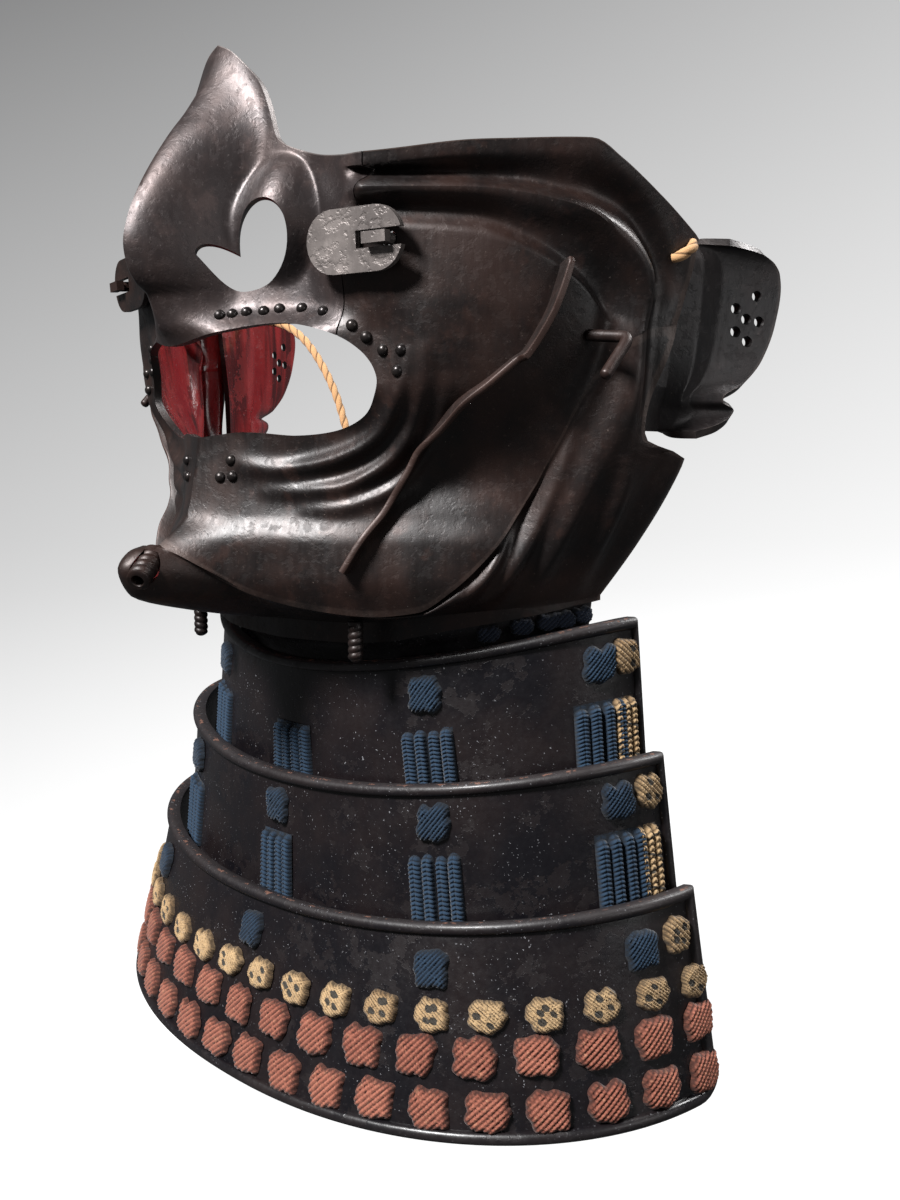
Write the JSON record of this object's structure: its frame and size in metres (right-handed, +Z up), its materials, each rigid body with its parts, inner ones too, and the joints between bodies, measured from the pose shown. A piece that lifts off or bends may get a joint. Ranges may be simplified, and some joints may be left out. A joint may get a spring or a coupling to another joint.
{
  "type": "samurai face guard",
  "caption": "Half-face iron armour mask with an open mouth, pierced nostrils, a lift-off nose piece locked by turn pins, and a hanging throat guard of laced curved plates.",
  "frame": {"origin": "where the wearer's chin rests, in the middle plane of the mask", "axes": "+X to the wearer's left, -Y to the front, +Z up"},
  "size_m": [0.1846, 0.1143, 0.231],
  "materials": {
    "dark_iron": "russet brown-black, worn satin",
    "grey_iron": "brushed satin, darker in the hollows",
    "pale_iron": "pale and pitted",
    "black_lacquer": "worn black lacquer with brown chips",
    "blue_silk": "indigo twill braid",
    "tan_silk": "flecked twill braid",
    "tan_cord": "twisted cord"
  },
  "bodies": {
    "guard": {"mask_shell": "dark_iron", "nose_piece": "grey_iron", "ear_plate_left": "dark_iron", "ear_plate_right": "dark_iron", "lock_plate_left": "pale_iron", "lock_plate_right": "pale_iron", "cheek_strip_left": "dark_iron", "cheek_strip_right": "dark_iron", "cord_hook_left": "dark_iron", "cord_hook_right": "dark_iron", "sweat_tube": "dark_iron", "chin_peg_left": "dark_iron", "chin_peg_right": "dark_iron", "neck_lame": "black_lacquer", "top_lame": "black_lacquer", "middle_lame": "black_lacquer", "bottom_lame": "black_lacquer", "blue_strap_neck_left": "blue_silk", "blue_strap_neck_right": "blue_silk", "blue_strap_neck_left_rear": "blue_silk", "blue_strap_neck_right_rear": "blue_silk", "blue_strap_upper_middle": "blue_silk", "blue_strap_upper_left": "blue_silk", "blue_strap_upper_right": "blue_silk", "blue_strap_upper_left_rear": "blue_silk", "blue_strap_upper_right_rear": "blue_silk", "edge_strap_upper_left": "tan_silk", "edge_strap_upper_right": "tan_silk", "blue_strap_lower_middle": "blue_silk", "blue_strap_lower_left": "blue_silk", "blue_strap_lower_right": "blue_silk", "blue_strap_lower_left_rear": "blue_silk", "blue_strap_lower_right_rear": "blue_silk", "edge_strap_lower_left": "tan_silk", "edge_strap_lower_right": "tan_silk", "hanging_cord": "tan_cord"},
    "turn_pin_left": {"turn_pin_left": "pale_iron"},
    "turn_pin_right": {"turn_pin_right": "pale_iron"}
  },
  "joints": [
    {"name": "pin_left_turn", "type": "hinge", "parent": "guard", "child": "turn_pin_left", "pos_m": [0.04773, 0.01288, 0.06535], "axis": [0.2277, -0.9708, -0.0754], "range_deg": [0, 90]},
    {"name": "pin_right_turn", "type": "hinge", "parent": "guard", "child": "turn_pin_right", "pos_m": [-0.04773, 0.01288, 0.06535], "axis": [-0.2277, -0.9708, -0.0754], "range_deg": [0, 90]}
  ]
}
